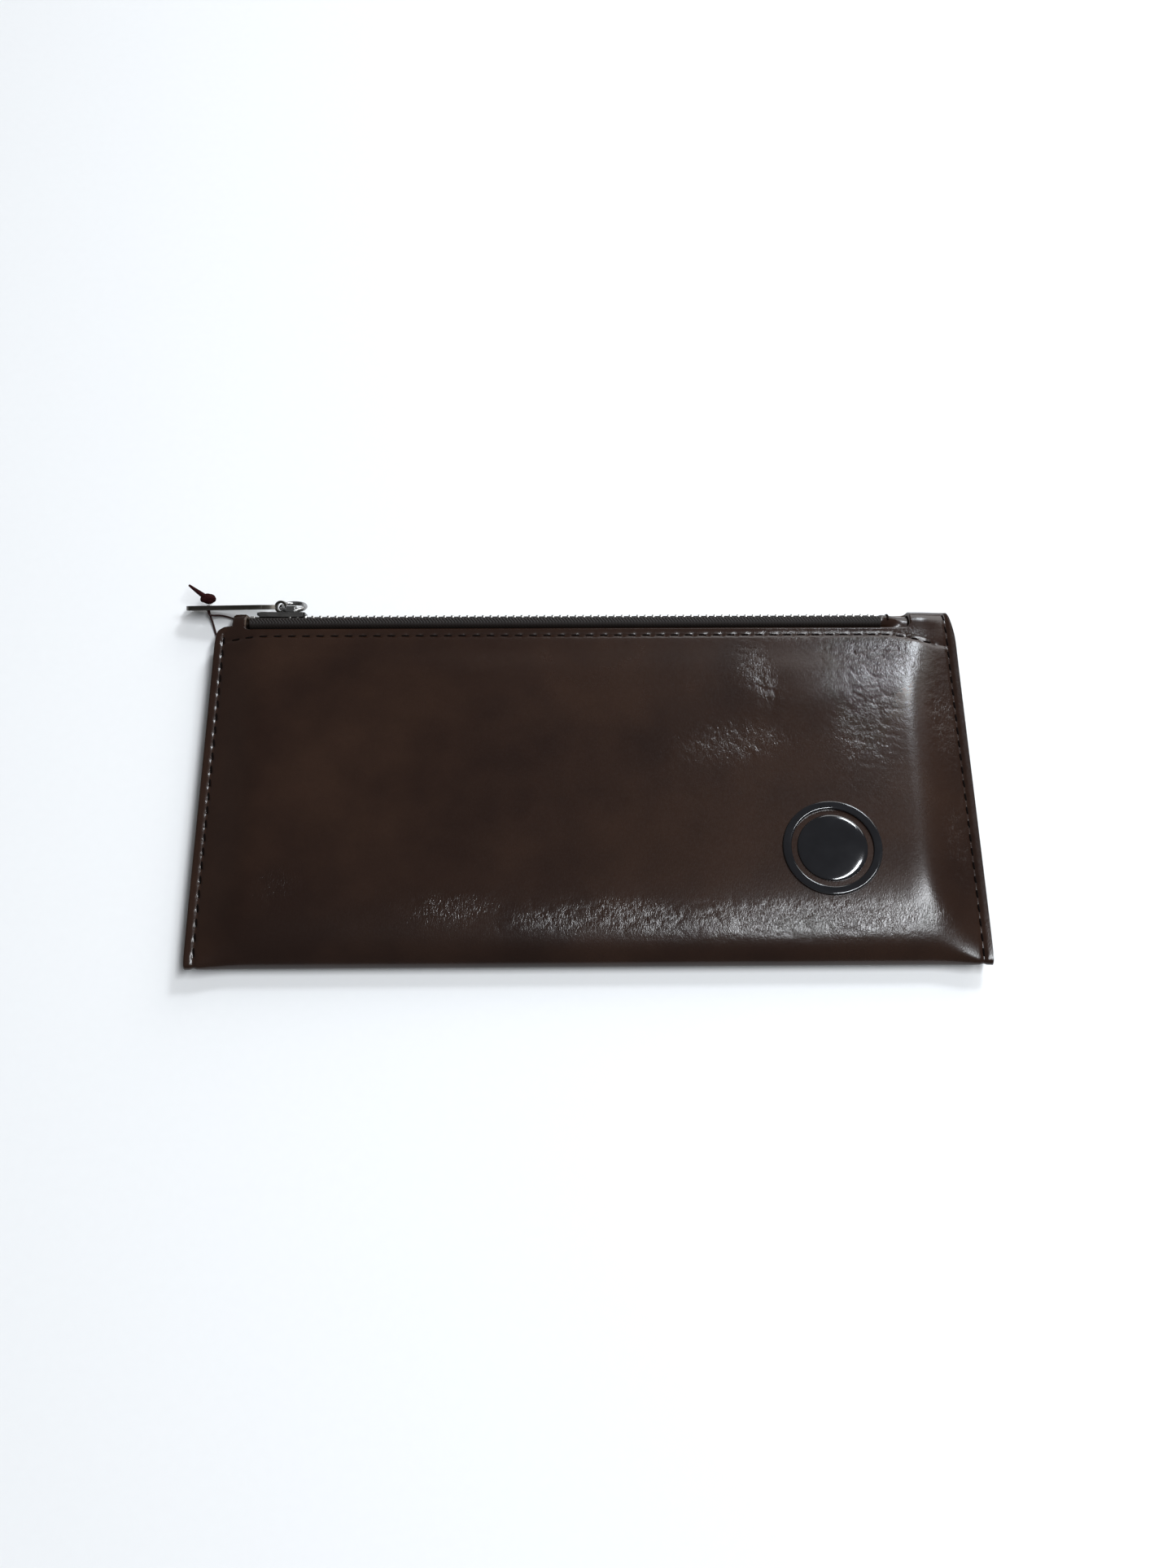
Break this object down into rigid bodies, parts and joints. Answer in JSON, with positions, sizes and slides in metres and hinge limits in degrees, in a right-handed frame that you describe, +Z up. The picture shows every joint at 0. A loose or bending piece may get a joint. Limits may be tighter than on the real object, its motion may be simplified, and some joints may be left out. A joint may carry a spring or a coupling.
{
  "type": "zippered pouch",
  "caption": "Long flat leather pouch with a zip along one edge, a slider with ring and flat pull tab, and a plain round emblem.",
  "frame": {"origin": "middle of the back face, which the pouch lies on", "axes": "+X along the zip, away from the closed slider; +Y towards the zip edge; +Z up, out of the front"},
  "size_m": [0.2105, 0.1098, 0.0127],
  "materials": {
    "outer_leather": "glossy, fine grain",
    "end_tab_leather": "glossy",
    "lining_fabric": "matt woven",
    "front_tape_twill": "matt twill",
    "back_tape_twill": "matt twill",
    "front_teeth_metal": "antique nickel plate",
    "back_teeth_metal": "antique nickel plate",
    "stop_metal": "antique nickel plate",
    "slider_metal": "polished gunmetal",
    "bail_metal": "polished gunmetal",
    "ring_metal": "polished gunmetal",
    "tab_metal": "dark gunmetal plate",
    "cord_fibre": "matt thin cord",
    "knot_fibre": "matt thin cord",
    "seam_thread": "dark sewing thread",
    "emblem_gloss": "gloss black"
  },
  "bodies": {
    "pouch": {"leather_wrap": "outer_leather", "zip_end_tab": "end_tab_leather", "lining": "lining_fabric", "front_tape": "front_tape_twill", "back_tape": "back_tape_twill", "front_teeth": "front_teeth_metal", "back_teeth": "back_teeth_metal", "top_stop_front": "stop_metal", "top_stop_back": "stop_metal", "bottom_stop": "stop_metal", "left_seam_thread": "seam_thread", "right_seam_thread": "seam_thread", "front_row_thread": "seam_thread", "back_row_thread": "seam_thread", "end_tab_thread": "seam_thread", "emblem_ring": "emblem_gloss", "emblem_boss": "emblem_gloss"},
    "slider": {"slider_body": "slider_metal", "slider_bail": "bail_metal"},
    "ring": {"pull_ring": "ring_metal"},
    "tab": {"pull_tab": "tab_metal", "cord_knot": "knot_fibre", "cord_loop": "cord_fibre"}
  },
  "joints": [
    {"name": "slider_slide", "type": "slide", "parent": "pouch", "child": "slider", "axis": [1, 0, 0], "range_m": [0, 0.153], "deforming": ["front_teeth", "back_teeth"]},
    {"name": "ring_swing", "type": "hinge", "parent": "slider", "child": "ring", "pos_m": [-0.0803, 0.04986, 0.00826], "axis": [1, 0, 0], "range_deg": [-7, 110]},
    {"name": "tab_swing", "type": "hinge", "parent": "ring", "child": "tab", "pos_m": [-0.08355, 0.05232, 0.00612], "axis": [0.1253, 0.4955, -0.8595], "range_deg": [0, 95], "deforming": ["cord_loop"]}
  ]
}
